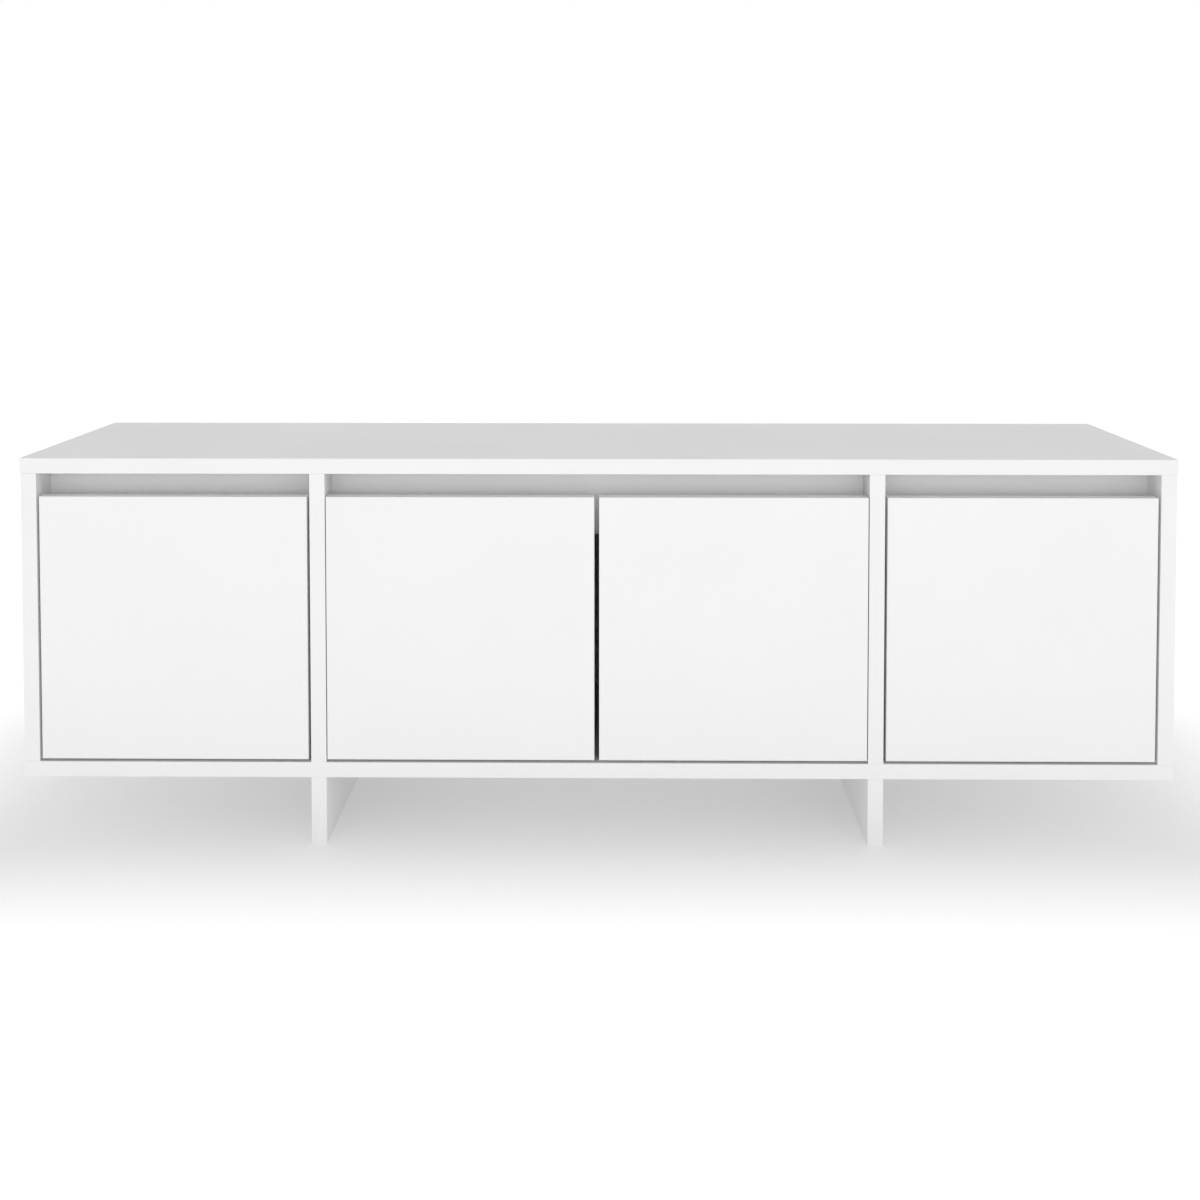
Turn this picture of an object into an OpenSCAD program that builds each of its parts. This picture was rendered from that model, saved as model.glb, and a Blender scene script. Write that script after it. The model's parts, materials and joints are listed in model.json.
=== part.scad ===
// Low TV stand: a board carcase with three bays, four flush doors on concealed
// cup hinges, and two plate legs under the dividers.
// X is the width, Y runs from the front (-) to the back (+), and Z is up.
// The origin is on the floor, under the middle of the stand.

/* [Carcase] */
// Overall width of the stand, across the top and bottom panels
stand_w = 1200; // [1180:5:1220]
// Overall depth of the stand
stand_d = 300; // [290:5:400]
// Overall height of the stand
stand_h = 405; // [400:5:460]
// Thickness of every board
board_t = 16; // [16:1:18]
// Height of the plate legs
leg_h = 70; // [60:5:120]
// How far the top and bottom panels stand out past each side panel
panel_lip = 1; // [0:0.5:5]
// Distance from the middle of the stand to the middle of each divider
divider_x = 290.5; // [270:0.5:300]

/* [Doors] */
// Height of the open finger slot above the doors
slot_h = 24; // [20:1:40]
// Gap between the doors and the bottom panel
door_gap_bottom = 3; // [2:0.5:4]
// Gap between an outer door and the uprights beside it
outer_gap = 2.75; // [1.5:0.25:4]
// Gap between a centre door and the divider that carries it
divider_gap = 1; // [1:0.25:2]
// Gap between the two centre doors
middle_gap = 5; // [3:0.5:6]

/* [Rails] */
// Height of the rails that close the finger slot
rail_h = 70; // [50:5:70]
// Distance from the front of the stand to the front of the rails
rail_setback = 40; // [38:1:42]

/* [Back] */
// Thickness of the back panels
back_t = 3; // [3:0.5:4]
// Distance from the back edge of the stand to the back panels
back_inset = 10; // [8:1:20]

/* [Hinges] */
// Distance from the top or bottom edge of a door to the middle of a hinge
hinge_from_end = 60; // [55:5:80]
// Outside diameter of the hinge cups
cup_d = 35; // [35:0.5:36]
// Depth of a hinge cup below the back face of its door
cup_depth = 12.5; // [12:0.5:13]
// Radius of the hinge pins
pin_r = 1.25; // [1:0.05:1.3]

/* [Hidden] */
$fn = 48;

// Levels and planes of the carcase
front_y = -stand_d / 2;
back_y = stand_d / 2;
top_z = stand_h - board_t;
floor_z = leg_h + board_t;
side_out = stand_w / 2 - panel_lip;
side_in = side_out - board_t;
divider_out = divider_x + board_t / 2;
divider_in = divider_x - board_t / 2;

// The uprights from left to right: the x of the middle of each, and the side
// that its cam locks face
UPRIGHTS = [
    [-side_in - board_t / 2, 1], [-divider_x, -1], [divider_x, 1], [side_in + board_t / 2, -1]
];

// Doors
door_z = floor_z + door_gap_bottom;
door_h = top_z - slot_h - door_z;
outer_door_w = side_in - divider_out - 2 * outer_gap;
centre_door_w = divider_in - divider_gap - middle_gap / 2;
hinge_zs = [door_z + hinge_from_end, door_z + door_h - hinge_from_end];

// Each door: name, side (-1 left, 1 right), distance from the middle of the
// stand to its hinge edge, gap to the upright that carries it, and width
DOORS = [
    ["left_outer", -1, side_in - outer_gap, outer_gap, outer_door_w],
    ["left_centre", -1, divider_in - divider_gap, divider_gap, centre_door_w],
    ["right_centre", 1, divider_in - divider_gap, divider_gap, centre_door_w],
    ["right_outer", 1, side_in - outer_gap, outer_gap, outer_door_w]
];
function door_side(door) = door[1];
function door_edge(door) = door[2];
function door_gap(door) = door[3];
function door_width(door) = door[4];

// Every hole and groove overruns the face it starts from by this much
over = 1;
// Radial play of a piece that is fixed in a hole
fit = 0.05;

// Grooves for the back panels
groove_play = 0.2;
groove_depth = 6;
back_hold = 5;
groove_y = back_y - back_inset - back_t - groove_play;
groove_w = back_t + 2 * groove_play;

// Cam locks and cam bolts
cam_r = 7.5;
cam_depth = 12.5;
cam_reach = 24;
cam_ys = [-70, 100];
cam_slot = [5, 1.6, 9];
bolt_shank_r = 3;
bolt_neck_r = 1.75;
bolt_neck = 5;
bolt_head_r = 3.5;
bolt_head_h = 4;
bolt_head_drop = 2.5;
bolt_thread_r = 2.5;
bolt_grip = 11;
bolt_hole_r = 4;

// Dowels
dowel_r = 4;
dowel_short = 10;
dowel_long = 20;
dowel_ys = [-30, 60];
rail_y = front_y + rail_setback + board_t / 2;
rail_dowel_zs = [top_z - rail_h + 16, top_z - 16];
rail_dowel_in = 12;
leg_dowel_ys = [-85, 85];

// Leg screws, from the bottom panel down into the legs
leg_screw_ys = [-120, 15, 125];
leg_screw_len = 50;
leg_screw_r = 3;
leg_screw_head_r = 5;
leg_screw_head_h = 4;
leg_screw_key = 4.6;
leg_screw_key_h = 2.5;

// Hinge pivots, in the plan of a closed door measured from the front corner at
// its hinge edge: X along the door, Y into the carcase. The outer link joins
// arm pivot A to cup pivot B, and the inner link joins arm pivot C to cup pivot D.
pivot_a = [36, 38.5];
pivot_b = [11, 12.5];
pivot_c = [47, 26.5];
pivot_d = [14.5, 8.5];
outer_elbow = [20, 11.2];
inner_elbow = [19.6, 6.6];
cup_x = 20.5;
pin_play = 0.05;

// Links: C is the open pivot, so its eye leaves the pin room to wander
strap_w = 2.4;
eye_r = 2.4;
open_play = 1.8;
open_eye_r = pin_r + open_play + 1.2;
inner_half = 4.5;
outer_inside = 7;
outer_outside = 8.5;

// Hinge cup, its flange, and the cheeks inside that carry its pins
cup_wall = 0.8;
flange_t = 1;
flange_r = 19;
wing_w = 13;
wing_x = 27;
wing_z = 24;
cheek_x = [6.5, 17.8];
cheek_inside = 9.2;
cheek_outside = 10.4;
cheek_drop = 0.7;
cup_screw_r = 1.75;
cup_screw_len = 12;
cup_screw_head_r = 3.75;
cup_screw_head_h = 2.2;

// Hinge arm: outline of a cheek, and of the web that joins the two cheeks
arm_inside = 9.6;
arm_outside = 11;
arm_head_r = 3.6;
arm_low = 5;
arm_high = 14.5;
arm_end = 92;
arm_sheet = 1.4;
arm_outline = [
    [44.6, 23.8], [50, 24.6], [50.6, 27], [47.6, 34], [38.5, 49], [17.5, 65],
    [arm_high, 71], [arm_high, arm_end], [arm_low, arm_end], [arm_low, 62],
    [29, 44], [32.6, 37.2]
];
web_outline = [
    [47.6, 34], [38.5, 49], [17.5, 65], [arm_high, 71], [arm_high, arm_end],
    [arm_high - arm_sheet, arm_end], [arm_high - arm_sheet, 70.6], [16.4, 64.1],
    [37.5, 48], [46.3, 33.4]
];

// Mounting plate
plate_ys = [58, 90];
plate_half = 8.5;
plate_top = arm_high - arm_sheet - 0.3;
wing_ys = [66, 84];
wing_half = 19;
wing_end_r = 9;
wing_t = 3;
plate_screw_y = 75;
plate_screw_z = 16;
plate_screw_r = 2.5;
plate_screw_len = 11;
plate_screw_head_r = 4;
plate_screw_head_h = 2;
arm_screw_ys = [75, 86];
arm_screw_r = 2;
arm_screw_len = 7;
arm_screw_head_r = 3.2;
arm_screw_head_h = 1.6;
arm_screw_hole = 8;

DOOR_PARTS = [
    "door", "hinge_cups", "cup_screws", "cup_pins", "outer_links", "inner_links",
    "hinge_arms", "arm_pins", "mounting_plates", "plate_screws"
];

// ---- Building blocks: the two ends of each may be given in either order

// Box between two opposite corners
module block(a, b)
    translate([min(a[0], b[0]), min(a[1], b[1]), min(a[2], b[2])])
        cube([abs(b[0] - a[0]), abs(b[1] - a[1]), abs(b[2] - a[2])]);

// Round rod along X
module rod_x(y, z, r, x0, x1)
    translate([min(x0, x1), y, z]) rotate([0, 90, 0]) cylinder(r = r, h = abs(x1 - x0));

// Round rod along Y
module rod_y(x, z, r, y0, y1)
    translate([x, max(y0, y1), z]) rotate([90, 0, 0]) cylinder(r = r, h = abs(y1 - y0));

// Round rod along Z
module rod_z(x, y, r, z0, z1)
    translate([x, y, min(z0, z1)]) cylinder(r = r, h = abs(z1 - z0));

// Round pin along Z at a pivot, reaching the same distance either way
module pin(pivot, r, half)
    rod_z(pivot[0], pivot[1], r, -half, half);

// Unit vector to the left of the way from a to b
function left_of(a, b) = let (way = (b - a) / norm(b - a)) [-way[1], way[0]];

// Offset of the mitred corner at b, on the left of the way from a through b to c
function mitre(a, b, c) = let (n = left_of(a, b), m = left_of(b, c)) (n + m) / (1 + n * m);

// Outline of a strap that runs from a to b and turns a corner at the elbow
function hook_outline(a, elbow, b) =
    let (
        h = strap_w / 2,
        start = h * left_of(a, elbow),
        turn = h * mitre(a, elbow, b),
        end = h * left_of(elbow, b)
    )
    [a + start, elbow + turn, b + end, b - end, elbow - turn, a - start];

// Cross-shaped driver recess in a screw head whose axis is Z
module cross_recess(length, depth) {
    cube([length, length / 5, 2 * depth], center = true);
    cube([length / 5, length, 2 * depth], center = true);
}

// Places its children at both hinges of a door, in the door's own plan
module each_hinge(door)
    for (z = hinge_zs)
        translate([door_side(door) * door_edge(door), front_y, z])
            mirror([door_side(door) > 0 ? 1 : 0, 0, 0]) children();

// ---- Holes and grooves that the boards share

// Cam, bolt and dowel holes in both ends of an upright
module upright_holes(up)
    for (end = [[top_z, 1], [floor_z, -1]]) {
        z = end[0];
        out = end[1];
        face = up[0] + up[1] * board_t / 2;
        for (y = cam_ys) {
            rod_x(y, z - out * cam_reach, cam_r + fit, face + up[1] * over, face - up[1] * (cam_depth + fit));
            rod_z(up[0], y, bolt_hole_r, z + out * over, z - out * cam_reach);
        }
        for (y = dowel_ys)
            rod_z(up[0], y, dowel_r + fit, z + out * over, z - out * (dowel_long + over));
    }

// Bolt and dowel holes in the panel that all the uprights meet
module panel_holes(face_z, into)
    for (up = UPRIGHTS) {
        for (y = cam_ys)
            rod_z(up[0], y, bolt_thread_r + fit, face_z - into * over, face_z + into * (bolt_grip + fit));
        for (y = dowel_ys)
            rod_z(up[0], y, dowel_r + fit, face_z - into * over, face_z + into * (dowel_short + fit));
    }

// Rail dowel holes through or into an upright
module rail_holes(x0, x1)
    for (z = rail_dowel_zs)
        rod_x(rail_y, z, dowel_r + fit, x0, x1);

// Holes for the screws of a door's mounting plates
module plate_holes(door)
    each_hinge(door)
        for (s = [-1, 1])
            rod_x(plate_screw_y, s * plate_screw_z, plate_screw_r + fit,
                over - door_gap(door), -door_gap(door) - plate_screw_len - fit);

// Groove along the top or bottom panel
module panel_groove(face_z, into)
    block([-side_in - groove_depth, groove_y, face_z - into * over],
        [side_in + groove_depth, groove_y + groove_w, face_z + into * groove_depth]);

// Groove up the face of an upright
module upright_groove(face_x, into)
    block([face_x - into * over, groove_y, floor_z - over],
        [face_x + into * groove_depth, groove_y + groove_w, top_z + over]);

// ---- Carcase boards

module top_panel()
    color("#f2f2f0")
        difference() {
            block([-stand_w / 2, front_y, top_z], [stand_w / 2, back_y, stand_h]);
            panel_holes(top_z, 1);
            panel_groove(top_z, 1);
        }

module bottom_panel()
    color("#f2f2f0")
        difference() {
            block([-stand_w / 2, front_y, leg_h], [stand_w / 2, back_y, floor_z]);
            panel_holes(floor_z, -1);
            panel_groove(floor_z, -1);
            for (x = [-divider_x, divider_x]) {
                for (y = leg_screw_ys) {
                    rod_z(x, y, leg_screw_r + fit, leg_h - over, floor_z);
                    rod_z(x, y, leg_screw_head_r + fit, floor_z - leg_screw_head_h - fit, floor_z + over);
                }
                for (y = leg_dowel_ys)
                    rod_z(x, y, dowel_r + fit, leg_h - over, leg_h + dowel_short + fit);
            }
        }

// Side panel, on side -1 (left) or 1 (right)
module side_panel(side, up, door)
    color("#f2f2f0")
        difference() {
            block([side * side_in, front_y, floor_z], [side * side_out, back_y, top_z]);
            upright_holes(up);
            plate_holes(door);
            upright_groove(side * side_in, side);
            rail_holes(side * (side_in - over), side * (side_in + dowel_short + fit));
        }

// Divider, on side -1 (left) or 1 (right)
module divider(side, up, door)
    color("#f2f2f0")
        difference() {
            block([side * divider_in, front_y, floor_z], [side * divider_out, back_y, top_z]);
            upright_holes(up);
            plate_holes(door);
            upright_groove(side * divider_in, side);
            upright_groove(side * divider_out, -side);
            rail_holes(side * (divider_in - over), side * (divider_out + over));
        }

// Rail that closes the finger slot of one bay, from x0 to x1
module rail(x0, x1)
    color("#e9e9e7")
        difference() {
            block([x0, rail_y - board_t / 2, top_z - rail_h], [x1, rail_y + board_t / 2, top_z]);
            rail_holes(x0 - over, x0 + rail_dowel_in + fit);
            rail_holes(x1 + over, x1 - rail_dowel_in - fit);
        }

// Plate leg under a divider, on side -1 (left) or 1 (right)
module leg(side)
    color("#f2f2f0")
        difference() {
            block([side * divider_in, front_y, 0], [side * divider_out, back_y, leg_h]);
            for (y = leg_screw_ys)
                rod_z(side * divider_x, y, leg_screw_r + fit, floor_z - leg_screw_len - fit, leg_h + over);
            for (y = leg_dowel_ys)
                rod_z(side * divider_x, y, dowel_r + fit, leg_h - dowel_long - fit, leg_h + over);
        }

// Back panel of one bay, held in the grooves around it
module back_panel(x0, x1)
    color("#dedcd6")
        block([x0 - back_hold, back_y - back_inset - back_t, floor_z - back_hold],
            [x1 + back_hold, back_y - back_inset, top_z + back_hold]);

// ---- Carcase fittings

// Cam lock flush with the face of its upright, with a pocket for the bolt head
module cam_lock(up, y, z, out) {
    face = up[0] + up[1] * board_t / 2;
    difference() {
        rod_x(y, z, cam_r, face, face - up[1] * cam_depth);
        rod_z(up[0], y, bolt_head_r + fit, z - out * bolt_head_h, z + out * (cam_r + over));
        translate([face, y, z]) cube(cam_slot, center = true);
        translate([face, y, z]) rotate([90, 0, 0]) cube(cam_slot, center = true);
    }
}

// Cam bolt: thread in the panel, shank, neck, and a head inside the cam
module cam_bolt(up, y, z, out) {
    rod_z(up[0], y, bolt_thread_r, z, z + out * bolt_grip);
    rod_z(up[0], y, bolt_shank_r, z, z - out * (cam_reach - bolt_neck));
    rod_z(up[0], y, bolt_neck_r, z, z - out * cam_reach);
    rod_z(up[0], y, bolt_head_r, z - out * (cam_reach + bolt_head_drop),
        z - out * (cam_reach + bolt_head_drop - bolt_head_h));
}

module cam_locks()
    color("#b9babd")
        for (up = UPRIGHTS)
            for (y = cam_ys) {
                cam_lock(up, y, top_z - cam_reach, 1);
                cam_lock(up, y, floor_z + cam_reach, -1);
            }

module cam_bolts()
    color("#c9b98a")
        for (up = UPRIGHTS)
            for (y = cam_ys) {
                cam_bolt(up, y, top_z, 1);
                cam_bolt(up, y, floor_z, -1);
            }

module wood_dowels()
    color("#c9a26b") {
        for (up = UPRIGHTS)
            for (y = dowel_ys) {
                rod_z(up[0], y, dowel_r, top_z - dowel_long, top_z + dowel_short);
                rod_z(up[0], y, dowel_r, floor_z - dowel_short, floor_z + dowel_long);
            }
        for (s = [-1, 1]) {
            for (y = leg_dowel_ys)
                rod_z(s * divider_x, y, dowel_r, leg_h - dowel_long, leg_h + dowel_short);
            for (z = rail_dowel_zs) {
                rod_x(rail_y, z, dowel_r,
                    s * (divider_in - rail_dowel_in), s * (divider_out + rail_dowel_in));
                rod_x(rail_y, z, dowel_r, s * (side_in - rail_dowel_in), s * (side_in + dowel_short));
            }
        }
    }

module leg_screws()
    color("#b5b6b8")
        for (x = [-divider_x, divider_x])
            for (y = leg_screw_ys)
                difference() {
                    union() {
                        rod_z(x, y, leg_screw_r, floor_z - leg_screw_len, floor_z - leg_screw_head_h);
                        rod_z(x, y, leg_screw_head_r, floor_z - leg_screw_head_h, floor_z);
                    }
                    translate([x, y, floor_z - leg_screw_key_h])
                        cylinder(d = leg_screw_key, h = leg_screw_key_h + over, $fn = 6);
                }

// ---- Doors and hinges

// Plain door with blind bores for its hinge cups and their screws
module door(door)
    color("#f4f4f2")
        difference() {
            block([door_side(door) * door_edge(door), front_y, door_z],
                [door_side(door) * (door_edge(door) - door_width(door)), front_y + board_t, door_z + door_h]);
            each_hinge(door) {
                rod_y(cup_x, 0, cup_d / 2 + fit, board_t + over, board_t - cup_depth - fit);
                for (s = [-1, 1])
                    rod_y(wing_x, s * wing_z, cup_screw_r + fit, board_t + over, board_t - cup_screw_len);
            }
        }

// Hinge cup in the back of the door, with its screw flange and the two cheeks
// inside that carry the pins
module hinge_cups(door)
    color("#c3c5c8")
        each_hinge(door)
            difference() {
                union() {
                    difference() {
                        union() {
                            rod_y(cup_x, 0, cup_d / 2, board_t, board_t - cup_depth);
                            rod_y(cup_x, 0, flange_r, board_t, board_t + flange_t);
                            block([wing_x - wing_w / 2, board_t, -wing_z],
                                [wing_x + wing_w / 2, board_t + flange_t, wing_z]);
                            for (s = [-1, 1])
                                rod_y(wing_x, s * wing_z, wing_w / 2, board_t, board_t + flange_t);
                        }
                        rod_y(cup_x, 0, cup_d / 2 - cup_wall,
                            board_t - cup_depth + cup_wall, board_t + flange_t + over);
                    }
                    for (s = [-1, 1])
                        block([cheek_x[0], board_t - cup_depth + cup_wall / 2, s * cheek_inside],
                            [cheek_x[1], board_t - cheek_drop, s * cheek_outside]);
                }
                for (s = [-1, 1])
                    rod_y(wing_x, s * wing_z, cup_screw_r + fit, board_t - over, board_t + flange_t + over);
                for (pivot = [pivot_b, pivot_d])
                    pin(pivot, pin_r + fit, cheek_outside + over);
            }

// Screws that hold the cup flange to the door
module cup_screws(door)
    color("#b5b6b8")
        each_hinge(door)
            for (s = [-1, 1])
                translate([wing_x, board_t + flange_t, s * wing_z])
                    rotate([-90, 0, 0])
                        difference() {
                            union() {
                                translate([0, 0, -cup_screw_len])
                                    cylinder(r = cup_screw_r, h = cup_screw_len);
                                cylinder(r = cup_screw_head_r, h = cup_screw_head_h);
                            }
                            translate([0, 0, cup_screw_head_h])
                                cross_recess(1.2 * cup_screw_head_r, cup_screw_head_h / 2);
                        }

// Pins across the cup, on which the two links turn
module cup_pins(door)
    color("#a9abae")
        each_hinge(door)
            for (pivot = [pivot_b, pivot_d])
                pin(pivot, pin_r, cheek_outside);

// Outer link: two hooked straps on a common sleeve around pivot A
module outer_links(door)
    color("#b9bbbe")
        each_hinge(door)
            difference() {
                union() {
                    for (z = [-outer_outside, outer_inside])
                        translate([0, 0, z]) {
                            linear_extrude(outer_outside - outer_inside)
                                polygon(hook_outline(pivot_a, outer_elbow, pivot_b));
                            translate(pivot_b) cylinder(r = eye_r, h = outer_outside - outer_inside);
                        }
                    pin(pivot_a, eye_r, outer_outside);
                }
                pin(pivot_a, pin_r + pin_play, arm_outside);
                pin(pivot_b, pin_r + pin_play, arm_outside);
            }

// Inner link: one hooked bar, with the wide eye of the open pivot at C
module inner_links(door)
    color("#b9bbbe")
        each_hinge(door)
            difference() {
                union() {
                    translate([0, 0, -inner_half])
                        linear_extrude(2 * inner_half)
                            polygon(hook_outline(pivot_c, inner_elbow, pivot_d));
                    pin(pivot_d, eye_r, inner_half);
                    pin(pivot_c, open_eye_r, inner_half);
                }
                pin(pivot_c, pin_r + open_play, arm_outside);
                pin(pivot_d, pin_r + pin_play, arm_outside);
            }

// Cranked arm: two cheeks joined by a web, open towards the upright
module hinge_arms(door)
    color("#c3c5c8")
        each_hinge(door)
            difference() {
                union() {
                    for (z = [-arm_outside, arm_inside])
                        translate([0, 0, z]) {
                            linear_extrude(arm_outside - arm_inside) polygon(arm_outline);
                            for (pivot = [pivot_a, pivot_c])
                                translate(pivot) cylinder(r = arm_head_r, h = arm_outside - arm_inside);
                        }
                    translate([0, 0, -arm_outside]) linear_extrude(2 * arm_outside) polygon(web_outline);
                }
                for (pivot = [pivot_a, pivot_c])
                    pin(pivot, pin_r + fit, arm_outside + over);
                for (y = arm_screw_ys)
                    rod_x(y, 0, arm_screw_r + fit, plate_top - over, arm_high + arm_head_r);
            }

// Pins riveted across the arm
module arm_pins(door)
    color("#a9abae")
        each_hinge(door)
            for (pivot = [pivot_a, pivot_c])
                pin(pivot, pin_r, arm_outside);

// Cross-shaped plate on the upright, with the block that the arm sits over
module mounting_plates(door)
    color("#c3c5c8")
        each_hinge(door)
            translate([-door_gap(door), 0, 0]) {
                top = plate_top + door_gap(door);
                difference() {
                    union() {
                        block([0, plate_ys[0], -plate_half], [top, plate_ys[1], plate_half]);
                        block([0, wing_ys[0], -wing_half], [wing_t, wing_ys[1], wing_half]);
                        for (s = [-1, 1])
                            rod_x(plate_screw_y, s * plate_screw_z, wing_end_r, 0, wing_t);
                    }
                    for (s = [-1, 1])
                        rod_x(plate_screw_y, s * plate_screw_z, plate_screw_r + fit, -over, wing_t + over);
                    for (y = arm_screw_ys)
                        rod_x(y, 0, arm_screw_r + fit, top - arm_screw_hole, top + over);
                }
            }

// Screws of the mounting plate, and the two that hold and adjust the arm
module plate_screws(door)
    color("#b5b6b8")
        each_hinge(door) {
            for (s = [-1, 1])
                translate([wing_t - door_gap(door), plate_screw_y, s * plate_screw_z])
                    rotate([0, 90, 0])
                        difference() {
                            union() {
                                translate([0, 0, -wing_t - plate_screw_len])
                                    cylinder(r = plate_screw_r, h = wing_t + plate_screw_len);
                                cylinder(r = plate_screw_head_r, h = plate_screw_head_h);
                            }
                            translate([0, 0, plate_screw_head_h])
                                cross_recess(1.2 * plate_screw_head_r, plate_screw_head_h / 2);
                        }
            for (y = arm_screw_ys)
                translate([arm_high, y, 0])
                    rotate([0, 90, 0])
                        difference() {
                            union() {
                                translate([0, 0, -arm_screw_len])
                                    cylinder(r = arm_screw_r, h = arm_screw_len);
                                cylinder(r = arm_screw_head_r, h = arm_screw_head_h);
                            }
                            translate([0, 0, arm_screw_head_h])
                                cross_recess(1.2 * arm_screw_head_r, arm_screw_head_h / 2);
                        }
        }

// ---- The stand

top_panel();
bottom_panel();
side_panel(-1, UPRIGHTS[0], DOORS[0]);  // left_side_panel
side_panel(1, UPRIGHTS[3], DOORS[3]);  // right_side_panel
divider(-1, UPRIGHTS[1], DOORS[1]);  // left_divider
divider(1, UPRIGHTS[2], DOORS[2]);  // right_divider
rail(-side_in, -divider_out);  // left_rail
rail(-divider_in, divider_in);  // centre_rail
rail(divider_out, side_in);  // right_rail
leg(-1);  // left_leg
leg(1);  // right_leg
back_panel(-side_in, -divider_out);  // left_back_panel
back_panel(-divider_in, divider_in);  // centre_back_panel
back_panel(divider_out, side_in);  // right_back_panel
cam_locks();
cam_bolts();
wood_dowels();
leg_screws();
for (door = DOORS) {
    door(door);
    hinge_cups(door);
    cup_screws(door);
    cup_pins(door);
    outer_links(door);
    inner_links(door);
    hinge_arms(door);
    arm_pins(door);
    mounting_plates(door);
    plate_screws(door);
}
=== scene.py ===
import json
import math

import bmesh
import bpy
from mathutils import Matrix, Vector

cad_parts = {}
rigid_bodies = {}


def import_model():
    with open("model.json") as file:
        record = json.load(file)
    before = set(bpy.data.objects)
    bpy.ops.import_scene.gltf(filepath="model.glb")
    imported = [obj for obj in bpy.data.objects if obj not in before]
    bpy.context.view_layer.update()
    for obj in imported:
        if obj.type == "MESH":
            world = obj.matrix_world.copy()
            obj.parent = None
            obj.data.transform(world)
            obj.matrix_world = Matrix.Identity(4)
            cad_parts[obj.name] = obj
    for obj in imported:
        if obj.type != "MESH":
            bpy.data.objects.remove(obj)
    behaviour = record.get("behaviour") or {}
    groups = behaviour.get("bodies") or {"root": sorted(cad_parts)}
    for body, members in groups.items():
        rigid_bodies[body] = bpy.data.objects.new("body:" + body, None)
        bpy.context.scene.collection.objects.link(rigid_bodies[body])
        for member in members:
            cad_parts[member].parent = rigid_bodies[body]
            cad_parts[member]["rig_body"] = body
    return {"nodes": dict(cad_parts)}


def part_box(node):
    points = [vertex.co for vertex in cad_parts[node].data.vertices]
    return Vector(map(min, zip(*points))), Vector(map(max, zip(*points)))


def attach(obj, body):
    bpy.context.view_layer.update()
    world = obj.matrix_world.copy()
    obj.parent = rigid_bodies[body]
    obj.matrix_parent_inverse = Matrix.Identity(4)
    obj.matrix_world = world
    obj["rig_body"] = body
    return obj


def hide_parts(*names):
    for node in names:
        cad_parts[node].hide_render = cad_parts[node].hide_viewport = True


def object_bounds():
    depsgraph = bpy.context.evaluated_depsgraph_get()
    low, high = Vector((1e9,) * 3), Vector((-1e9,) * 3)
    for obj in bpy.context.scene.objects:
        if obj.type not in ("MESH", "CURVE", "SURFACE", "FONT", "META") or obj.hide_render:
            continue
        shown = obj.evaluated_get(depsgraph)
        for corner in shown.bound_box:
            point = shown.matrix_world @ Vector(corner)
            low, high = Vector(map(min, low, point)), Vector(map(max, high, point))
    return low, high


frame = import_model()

cad_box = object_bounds()
MM = 0.001

# Boards: the axis across the thickness of each (0 x, 1 y, 2 z)
CARCASE_BOARDS = {
    "top_panel": 2,
    "bottom_panel": 2,
    "left_side_panel": 0,
    "right_side_panel": 0,
    "left_divider": 0,
    "right_divider": 0,
    "left_leg": 0,
    "right_leg": 0,
    "left_rail": 1,
    "centre_rail": 1,
    "right_rail": 1,
}
DOORS = ("left_outer", "left_centre", "right_centre", "right_outer")
Y = 1

# Chipboard panels with edge banding
EDGE_RADIUS = 0.35 * MM
EDGE_SEGMENTS = 3
FLAT_DEGREES = 0.5
SHARP_DEGREES = 40
ON_PLANE = 0.01 * MM
MELAMINE, BANDING, CHIPBOARD = 0, 1, 2

# Colours: two that noise mixes, or one
WHITE = (0.875, 0.875, 0.875, 1)
MELAMINE_CLOUDS = (WHITE, (0.865, 0.866, 0.866, 1))
BANDING_CLOUDS = ((0.868, 0.869, 0.870, 1), (0.858, 0.859, 0.861, 1))
LACQUER_CLOUDS = (WHITE, (0.860, 0.861, 0.861, 1))
SEAM_GREY = (0.62, 0.62, 0.61, 1)
CHIP_WOOD = ((0.46, 0.31, 0.17, 1), (0.66, 0.50, 0.32, 1))
CHIP_DUST = (0.27, 0.17, 0.09, 1)
HARDBOARD = ((0.235, 0.140, 0.075, 1), (0.330, 0.210, 0.120, 1))
HARDBOARD_FIBRE = (0.45, 0.32, 0.20, 1)
BEECH = ((0.60, 0.40, 0.24, 1), (0.76, 0.56, 0.38, 1))
BEECH_FLECK = (0.40, 0.24, 0.13, 1)

# Roughness, from and to
MELAMINE_ROUGHNESS = (0.40, 0.47)
BANDING_ROUGHNESS = (0.32, 0.40)
CHIP_ROUGHNESS = (0.75, 0.95)
LACQUER_ROUGHNESS = 0.45
FIBRE_EXTRA_ROUGHNESS = 0.35
BEECH_ROUGHNESS = (0.55, 0.7)
PLASTIC_IOR = 1.5

# Scale of each noise, per metre
MELAMINE_CLOUD_SCALE = 7.0
MELAMINE_TEXTURE_SCALE = 1400.0
BANDING_CLOUD_SCALE = 12.0
TRIMMING_SCALE = 1200.0
CHIP_WAVE_SCALE = 300.0
CHIP_FLAKE_SCALE = 420.0
CHIP_DUST_SCALE = 1300.0
HARDBOARD_CLOUD_SCALE = 9.0
HARDBOARD_FIBRE_SCALE = 900.0
METAL_CLOUD_SCALE = 140.0
BEECH_GRAIN_SCALE = (120.0, 900.0, 900.0)
BEECH_FLECK_SCALE = (300.0, 2200.0, 2200.0)

# Height of each relief
MELAMINE_TEXTURE_HEIGHT = 0.012 * MM
TRIMMING_HEIGHT = 0.01 * MM
CHIP_WAVE = 2 * MM
CHIP_FLAKE_HEIGHT = 0.15 * MM
CHIP_DUST_HEIGHT = 0.06 * MM
LACQUER_HEIGHT = 0.01 * MM
HARDBOARD_FIBRE_HEIGHT = 0.05 * MM
BEECH_GRAIN_HEIGHT = 0.03 * MM

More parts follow.
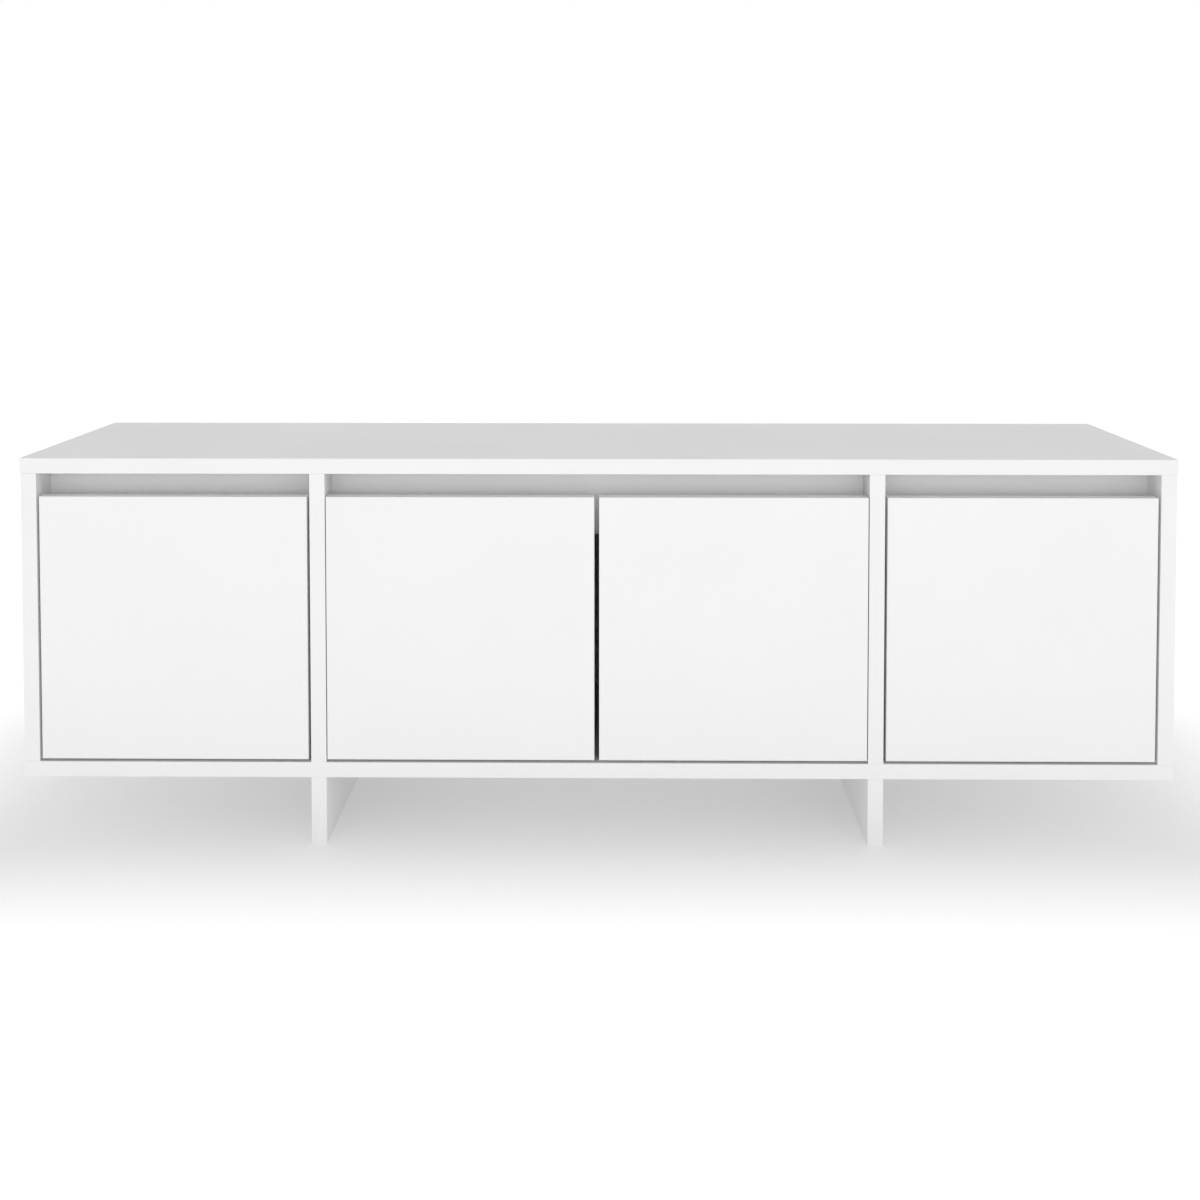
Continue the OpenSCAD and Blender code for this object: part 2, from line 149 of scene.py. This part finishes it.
# Joint between a melamine face and its banding
BAND_THICKNESS = 1.0 * MM
SEAM_HALF_WIDTH = 0.08 * MM
SEAM_SHARE = 0.5
SEAM_DEPTH = 0.05 * MM

# Metals, by the record's slot: name, darker and lighter colour, range of the
# roughness, scale of the marks along each axis (per metre) and their height
METALS = {
    "nickel": (
        "nickel_plate", (0.56, 0.545, 0.52, 1), (0.68, 0.665, 0.64, 1),
        (0.20, 0.34), (300.0, 2600.0, 2600.0), 0.004 * MM,
    ),
    "steel": (
        "zinc_plated_steel", (0.47, 0.48, 0.50, 1), (0.62, 0.63, 0.65, 1),
        (0.28, 0.42), (1800.0, 1800.0, 1800.0), 0.006 * MM,
    ),
    "zinc": (
        "die_cast_zinc", (0.44, 0.45, 0.46, 1), (0.58, 0.59, 0.60, 1),
        (0.42, 0.58), (1500.0, 1500.0, 1500.0), 0.015 * MM,
    ),
    "zinc_yellow": (
        "yellow_zinc", (0.62, 0.48, 0.22, 1), (0.72, 0.62, 0.40, 1),
        (0.26, 0.40), (1800.0, 1800.0, 1800.0), 0.006 * MM,
    ),
}

# Camera: place, direction (degrees), lens, sensor (mm) and shift
CAMERA_AT = (0.0192, -1.7081, 0.6355)
CAMERA_DOWN = 2.3
CAMERA_LEFT = 0.581
LENS = 45.4
SENSOR = 36.0
SHIFT_Y = -0.2526
NEAREST = 0.05
FURTHEST = 200.0

# Floor: size and grey, and how brightly it glows beside the stand and past a reach from it.
# The glow is painted light; dimmer beside the stand, it leaves a painted shade around the
# stand.
FLOOR_SIZE = 60.0
FLOOR_GREY = 0.85
GLOW_NEAR = 0.15
GLOW_FAR = 0.42
GLOW_REACH = 0.28

# Sky: brightness at the horizon and overhead, and the heights (degrees)
# between which it changes
SKY_HORIZON = 1.0
SKY_ABOVE = 0.68
SKY_FADE = (12, 26)

# Key light
KEY_AT = (0.1, -3.6, 0.75)
KEY_SIZE = (3.6, 1.3)
KEY_WATTS = 16.0
KEY_TARGET = (0.0, 0.0, 0.25)


# ---------------------------------------------------------------- node trees

def put(tree, kind, inputs=None, **settings):
    """Adds a shader node. An input is a value, or another node's output socket."""
    node = tree.nodes.new("ShaderNode" + kind)
    for name, value in settings.items():
        setattr(node, name, value)
    for key, value in (inputs or {}).items():
        if isinstance(value, bpy.types.NodeSocket):
            tree.links.new(value, node.inputs[key])
        else:
            node.inputs[key].default_value = value
    return node


def calc(tree, operation, a, b=0.0, c=0.0):
    """Output of a Math node."""
    return put(tree, "Math", {0: a, 1: b, 2: c}, operation=operation).outputs[0]


def vector_calc(tree, operation, a, b):
    """Output of a Vector Math node."""
    return put(tree, "VectorMath", {0: a, 1: b}, operation=operation).outputs[0]


def smallest(tree, vector):
    """Smallest of a vector's three parts."""
    parts = put(tree, "SeparateXYZ", {0: vector}).outputs
    return calc(tree, "MINIMUM", calc(tree, "MINIMUM", parts[0], parts[1]), parts[2])


def ramp_to(tree, value, start, end, low=0.0, high=1.0):
    """Value carried smoothly from start..end to low..high."""
    ranges = {"Value": value, "From Min": start, "From Max": end, "To Min": low, "To Max": high}
    return put(tree, "MapRange", ranges, interpolation_type="SMOOTHSTEP").outputs[0]


def mixed(tree, share, a, b):
    """Colour between a and b."""
    node = put(tree, "Mix", {"Factor": share}, data_type="RGBA")
    for socket, value in ((node.inputs[6], a), (node.inputs[7], b)):
        if isinstance(value, bpy.types.NodeSocket):
            tree.links.new(value, socket)
        else:
            socket.default_value = value
    return node.outputs[2]


def noise(tree, place, scale, detail=2.0, roughness=0.5):
    """Noise from 0 to 1 at a place."""
    values = {"Vector": place, "Scale": scale, "Detail": detail, "Roughness": roughness}
    return put(tree, "TexNoise", values).outputs[0]


def stretched(tree, place, scale):
    """Place scaled by a different number along each axis."""
    return vector_calc(tree, "MULTIPLY", place, scale)


def object_place(tree):
    """Point of the surface in the stand's own frame, in metres."""
    return put(tree, "TexCoord").outputs["Object"]


def relief(tree, shader, height):
    """Bump from a height in metres."""
    bump = put(tree, "Bump", {"Strength": 1.0, "Distance": 1.0, "Height": height})
    tree.links.new(bump.outputs[0], shader.inputs["Normal"])


def new_material(name):
    """Material with a Principled shader. Returns it, its tree and the shader."""
    material = bpy.data.materials.new(name)
    material.use_nodes = True
    tree = material.node_tree
    return material, tree, tree.nodes["Principled BSDF"]


# ----------------------------------------------------------------- materials

def laminate(node, thin, raw_back):
    """White melamine face of one board, with the fine joint to its edge banding."""
    material, tree, shader = new_material("melamine_" + node)
    low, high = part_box(node)
    band_high = Vector(high)
    if raw_back:
        band_high[Y] += 1.0
    across = Vector((0, 0, 0))
    across[thin] = 1.0
    place = object_place(tree)
    inset = vector_calc(
        tree,
        "MINIMUM",
        vector_calc(tree, "SUBTRACT", place, low),
        vector_calc(tree, "SUBTRACT", tuple(band_high), place),
    )
    outline = smallest(tree, vector_calc(tree, "ADD", inset, across))
    from_joint = calc(tree, "ABSOLUTE", calc(tree, "SUBTRACT", outline, BAND_THICKNESS))
    joint = ramp_to(tree, from_joint, SEAM_HALF_WIDTH, 0.0)
    cloud = noise(tree, place, MELAMINE_CLOUD_SCALE, detail=3.0)
    fine = noise(tree, place, MELAMINE_TEXTURE_SCALE, detail=1.0)
    tone = mixed(tree, ramp_to(tree, cloud, 0.3, 0.7), *MELAMINE_CLOUDS)
    colour = mixed(tree, calc(tree, "MULTIPLY", joint, SEAM_SHARE), tone, SEAM_GREY)
    tree.links.new(colour, shader.inputs["Base Color"])
    roughness = ramp_to(tree, cloud, 0.25, 0.75, *MELAMINE_ROUGHNESS)
    tree.links.new(roughness, shader.inputs["Roughness"])
    shader.inputs["IOR"].default_value = PLASTIC_IOR
    sunk = calc(tree, "MULTIPLY", joint, -SEAM_DEPTH)
    relief(tree, shader, calc(tree, "MULTIPLY_ADD", fine, MELAMINE_TEXTURE_HEIGHT, sunk))
    return material


def edge_band():
    """White plastic edge banding: smoother than the faces, with faint trimming marks."""
    material, tree, shader = new_material("edge_band")
    place = object_place(tree)
    cloud = noise(tree, place, BANDING_CLOUD_SCALE, detail=2.0)
    trimming = noise(tree, place, TRIMMING_SCALE, detail=2.0)
    tone = mixed(tree, ramp_to(tree, cloud, 0.3, 0.7), *BANDING_CLOUDS)
    tree.links.new(tone, shader.inputs["Base Color"])
    roughness = ramp_to(tree, cloud, 0.25, 0.75, *BANDING_ROUGHNESS)
    tree.links.new(roughness, shader.inputs["Roughness"])
    shader.inputs["IOR"].default_value = PLASTIC_IOR
    relief(tree, shader, calc(tree, "MULTIPLY", trimming, TRIMMING_HEIGHT))
    return material


def chipboard():
    """Raw chipboard, where a board is drilled, grooved or left without banding."""
    material, tree, shader = new_material("chipboard")
    place = object_place(tree)
    waves = put(tree, "TexNoise", {"Vector": place, "Scale": CHIP_WAVE_SCALE}).outputs["Color"]
    push = stretched(tree, waves, (CHIP_WAVE, CHIP_WAVE, CHIP_WAVE))
    warped = vector_calc(tree, "ADD", place, push)
    flakes = put(tree, "TexVoronoi", {"Vector": warped, "Scale": CHIP_FLAKE_SCALE})
    dust = put(tree, "TexVoronoi", {"Vector": warped, "Scale": CHIP_DUST_SCALE})
    flake_tone = put(tree, "SeparateColor", {0: flakes.outputs["Color"]}).outputs[0]
    dust_tone = put(tree, "SeparateColor", {0: dust.outputs["Color"]}).outputs[1]
    wood = mixed(tree, flake_tone, *CHIP_WOOD)
    colour = mixed(tree, calc(tree, "MULTIPLY", dust_tone, 0.45), wood, CHIP_DUST)
    tree.links.new(colour, shader.inputs["Base Color"])
    roughness = ramp_to(tree, dust_tone, 0.0, 1.0, *CHIP_ROUGHNESS)
    tree.links.new(roughness, shader.inputs["Roughness"])
    pits = calc(tree, "MULTIPLY", flake_tone, CHIP_FLAKE_HEIGHT)
    relief(tree, shader, calc(tree, "MULTIPLY_ADD", dust_tone, CHIP_DUST_HEIGHT, pits))
    return material


def back_board():
    """Hardboard: lacquered white, with raw brown fibres on the back face only."""
    material, tree, shader = new_material("hardboard")
    place = object_place(tree)
    normal = put(tree, "NewGeometry").outputs["True Normal"]
    raw = ramp_to(tree, put(tree, "SeparateXYZ", {0: normal}).outputs[Y], -0.9, -0.8)
    cloud = noise(tree, place, HARDBOARD_CLOUD_SCALE, detail=4.0)
    drawn = stretched(tree, place, (1.0, 1.0, 0.35))
    fibre = noise(tree, drawn, HARDBOARD_FIBRE_SCALE, detail=4.0, roughness=0.7)
    brown = mixed(tree, cloud, *HARDBOARD)
    brown = mixed(tree, ramp_to(tree, fibre, 0.35, 0.75, 0.0, 0.6), brown, HARDBOARD_FIBRE)
    white = mixed(tree, ramp_to(tree, cloud, 0.3, 0.7), *LACQUER_CLOUDS)
    tree.links.new(mixed(tree, raw, white, brown), shader.inputs["Base Color"])
    roughness = calc(tree, "MULTIPLY_ADD", raw, FIBRE_EXTRA_ROUGHNESS, LACQUER_ROUGHNESS)
    tree.links.new(roughness, shader.inputs["Roughness"])
    depth = ramp_to(tree, raw, 0.0, 1.0, LACQUER_HEIGHT, HARDBOARD_FIBRE_HEIGHT)
    relief(tree, shader, calc(tree, "MULTIPLY", fibre, depth))
    return material


def metal(name, dark, light, roughness, grain, relief_depth):
    """Bare or plated metal, with a row of METALS."""
    material, tree, shader = new_material(name)
    place = object_place(tree)
    cloud = noise(tree, place, METAL_CLOUD_SCALE, detail=4.0, roughness=0.6)
    marks = noise(tree, stretched(tree, place, grain), 1.0, detail=3.0, roughness=0.65)
    tone = mixed(tree, ramp_to(tree, cloud, 0.3, 0.7), dark, light)
    tree.links.new(tone, shader.inputs["Base Color"])
    shader.inputs["Metallic"].default_value = 1.0
    tree.links.new(ramp_to(tree, marks, 0.3, 0.7, *roughness), shader.inputs["Roughness"])
    relief(tree, shader, calc(tree, "MULTIPLY", marks, relief_depth))
    return material


def beech():
    """Beech dowels: pale wood, with grain and flecks along the dowel."""
    material, tree, shader = new_material("beech")
    place = object_place(tree)
    grain = noise(tree, stretched(tree, place, BEECH_GRAIN_SCALE), 1.0, detail=4.0)
    flecks = noise(tree, stretched(tree, place, BEECH_FLECK_SCALE), 1.0, detail=1.0)
    wood = mixed(tree, grain, *BEECH)
    fleck = ramp_to(tree, flecks, 0.62, 0.72, 0.0, 0.5)
    tree.links.new(mixed(tree, fleck, wood, BEECH_FLECK), shader.inputs["Base Color"])
    roughness = ramp_to(tree, grain, 0.3, 0.7, *BEECH_ROUGHNESS)
    tree.links.new(roughness, shader.inputs["Roughness"])
    relief(tree, shader, calc(tree, "MULTIPLY", grain, BEECH_GRAIN_HEIGHT))
    return material


# -------------------------------------------------------------------- boards

def planes_of(point, low, high):
    """The planes of the board's box that a point lies on, as (axis, side)."""
    found = set()
    for axis in range(3):
        for side, corner in ((0, low), (1, high)):
            if abs(point[axis] - corner[axis]) < ON_PLANE:
                found.add((axis, side))
    return found


def board_mesh(node, thin, raw_back):
    """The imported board's mesh, with the banded edges rounded and a finish on each face."""
    low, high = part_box(node)
    back = (Y, 1)
    bm = bmesh.new()
    bm.from_mesh(frame["nodes"][node].data)
    bmesh.ops.remove_doubles(bm, verts=bm.verts, dist=ON_PLANE / 10)
    bmesh.ops.dissolve_limit(
        bm, angle_limit=math.radians(FLAT_DEGREES), verts=bm.verts, edges=bm.edges
    )
    outer = []
    for edge in bm.edges:
        shared = planes_of(edge.verts[0].co, low, high) & planes_of(edge.verts[1].co, low, high)
        if len(shared) == 2 and not (raw_back and back in shared):
            outer.append(edge)
    bmesh.ops.bevel(
        bm,
        geom=outer,
        offset=EDGE_RADIUS,
        offset_type="OFFSET",
        segments=EDGE_SEGMENTS,
        profile=0.5,
        affect="EDGES",
        clamp_overlap=True,
    )
    for face in bm.faces:
        middle = face.calc_center_median()
        depth = min(min(middle[a] - low[a], high[a] - middle[a]) for a in range(3))
        on_back = face.normal[Y] > 0.9 and high[Y] - middle[Y] < ON_PLANE
        if depth > EDGE_RADIUS or (raw_back and on_back):
            face.material_index = CHIPBOARD
        elif abs(face.normal[thin]) > 0.999:
            face.material_index = MELAMINE
        else:
            face.material_index = BANDING
        face.smooth = True
    mesh = bpy.data.meshes.new(node + "_board")
    bm.to_mesh(mesh)
    bm.free()
    mesh.set_sharp_from_angle(angle=math.radians(SHARP_DEGREES))
    return mesh


def add_board(node, thin, raw_back, shared):
    """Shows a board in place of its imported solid."""
    mesh = board_mesh(node, thin, raw_back)
    for material in (laminate(node, thin, raw_back), *shared):
        mesh.materials.append(material)
    piece = bpy.data.objects.new(node + "_board", mesh)
    bpy.context.scene.collection.objects.link(piece)
    flat = piece.modifiers.new("flat_faces", "WEIGHTED_NORMAL")
    flat.keep_sharp = True
    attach(piece, frame["nodes"][node]["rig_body"])
    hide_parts(node)


def add_boards():
    """All chipboard panels: the carcase's with a raw back edge, the doors banded all round."""
    shared = (edge_band(), chipboard())
    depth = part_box("top_panel")[1][Y]
    for node, thin in CARCASE_BOARDS.items():
        reaches_back = abs(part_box(node)[1][Y] - depth) < ON_PLANE
        add_board(node, thin, reaches_back, shared)
    for door in DOORS:
        add_board(door + "_door", Y, False, shared)


# ------------------------------------------------------------------ fittings

def finish_fittings():
    """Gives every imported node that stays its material, by the record's slots."""
    finishes = {slot: metal(*look) for slot, look in METALS.items()}
    finishes["back_board"] = back_board()
    finishes["beech"] = beech()
    for node in frame["nodes"].values():
        slot = node.data.materials[0].name.split(".")[0]
        if slot in finishes:
            node.material_slots[0].link = "OBJECT"
            node.material_slots[0].material = finishes[slot]


# -------------------------------------------------------------------- studio

def add_camera():
    """Camera a little above the stand's top, almost square to its front."""
    data = bpy.data.cameras.new("camera")
    data.lens = LENS
    data.sensor_width = SENSOR
    data.shift_y = SHIFT_Y
    data.clip_start = NEAREST
    data.clip_end = FURTHEST
    camera = bpy.data.objects.new("camera", data)
    camera.location = CAMERA_AT
    camera.rotation_euler = (math.radians(90 - CAMERA_DOWN), 0, math.radians(CAMERA_LEFT))
    bpy.context.scene.collection.objects.link(camera)
    bpy.context.scene.camera = camera


def add_floor():
    """Plain pale floor, partly self-lit (painted light) away from the stand and dim beside it
    (painted shade), so that it runs out into white.
    """
    half = FLOOR_SIZE / 2
    mesh = bpy.data.meshes.new("floor")
    corners = [(-half, -half, 0), (half, -half, 0), (half, half, 0), (-half, half, 0)]
    mesh.from_pydata(corners, [], [(0, 1, 2, 3)])
    material, tree, shader = new_material("floor_paint_and_glow")
    shader.inputs["Base Color"].default_value = (FLOOR_GREY, FLOOR_GREY, FLOOR_GREY, 1)
    shader.inputs["Roughness"].default_value = 1.0
    shader.inputs["Specular IOR Level"].default_value = 0.0
    shader.inputs["Emission Color"].default_value = (1, 1, 1, 1)
    corner = cad_box[1]
    reach = vector_calc(tree, "ABSOLUTE", object_place(tree), (0, 0, 0))
    past = vector_calc(tree, "SUBTRACT", reach, (corner[0], corner[Y], 0))
    outside = vector_calc(tree, "MAXIMUM", past, (0, 0, 0))
    distance = put(tree, "VectorMath", {0: outside}, operation="LENGTH").outputs["Value"]
    # Painted light: the floor's emission is weak beside the stand, a painted shade at its foot,
    # and strong past GLOW_REACH.
    glow = ramp_to(tree, distance, 0.0, GLOW_REACH, GLOW_NEAR, GLOW_FAR)
    tree.links.new(glow, shader.inputs["Emission Strength"])
    mesh.materials.append(material)
    floor = bpy.data.objects.new("floor", mesh)
    bpy.context.scene.collection.objects.link(floor)


def add_sky():
    """White at the horizon, greyer overhead."""
    world = bpy.data.worlds.new("studio")
    world.use_nodes = True
    tree = world.node_tree
    up = put(tree, "SeparateXYZ", {0: put(tree, "TexCoord").outputs["Generated"]}).outputs[2]
    start, end = (math.sin(math.radians(height)) for height in SKY_FADE)
    level = ramp_to(tree, up, start, end, SKY_HORIZON, SKY_ABOVE)
    tree.links.new(level, tree.nodes["Background"].inputs["Strength"])
    tree.nodes["Background"].inputs["Color"].default_value = (1, 1, 1, 1)
    bpy.context.scene.world = world


def add_key():
    """Large soft light behind the camera, turned towards the foot of the stand."""
    data = bpy.data.lights.new("key", "AREA")
    data.shape = "RECTANGLE"
    data.size, data.size_y = KEY_SIZE
    data.energy = KEY_WATTS
    key = bpy.data.objects.new("key", data)
    key.location = KEY_AT
    towards = Vector(KEY_TARGET) - Vector(KEY_AT)
    key.rotation_euler = towards.to_track_quat("-Z", "Y").to_euler()
    bpy.context.scene.collection.objects.link(key)


add_camera()
add_floor()
add_sky()
add_key()
add_boards()
finish_fittings()
bpy.context.scene.view_settings.view_transform = "Standard"
